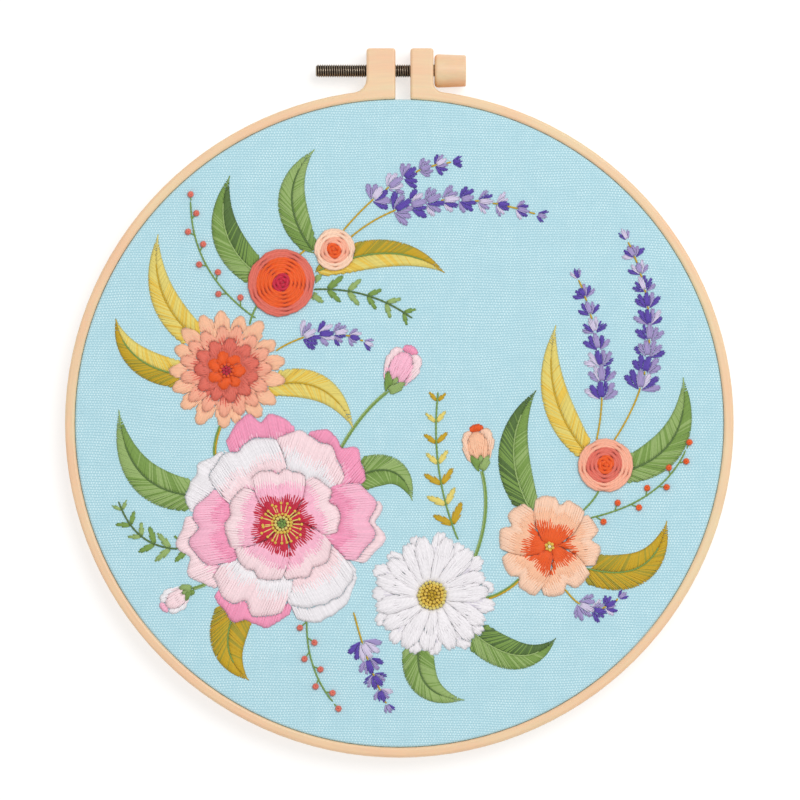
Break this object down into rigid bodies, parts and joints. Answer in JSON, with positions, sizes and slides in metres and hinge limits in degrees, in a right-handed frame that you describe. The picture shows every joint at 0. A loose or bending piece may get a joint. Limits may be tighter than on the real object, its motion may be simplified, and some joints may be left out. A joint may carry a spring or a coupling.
{
  "type": "hoop embroidery art: embroidered cloth in its screw-closed embroidery hoop",
  "caption": "Round of pale blue cloth with an embroidered garland, stretched between two plastic rings that a tension screw with a round knob closes.",
  "frame": {"origin": "bottom centre of the bounding box: on the plane of the hoop's back rims, halfway along the length with the clamp", "axes": "+Z out of the cloth's embroidered face, +Y from the cloth's centre to the clamp, +X along the screw towards the knob"},
  "size_m": [0.205, 0.2178, 0.011],
  "materials": {
    "ring_plastic": "pale wood-coloured moulded plastic, faint peach and cream streaks, soft satin sheen",
    "inner_plastic": "the same moulded plastic as the outer ring, a shade paler",
    "knob_plastic": "smooth moulded plastic, a little pinker than the ring",
    "dark_steel": "dark bronzed steel with bright worn thread crests",
    "blue_cotton": "matt plain-weave cotton, pale sky blue, with pale thread crowns and darker pores",
    "embroidery_thread": "stranded cotton thread with a silky sheen, in pinks, corals, violets, yellows and greens"
  },
  "bodies": {
    "hoop": {"outer_ring": "ring_plastic", "inner_ring": "inner_plastic", "cloth": "blue_cotton"},
    "tension_screw": {"screw": "dark_steel", "knob": "knob_plastic"}
  },
  "joints": [
    {"name": "tension_screw_turn", "type": "hinge", "parent": "hoop", "child": "tension_screw", "pos_m": [0, 0.10225, 0.0055], "axis": [1, 0, 0], "continuous": true}
  ]
}
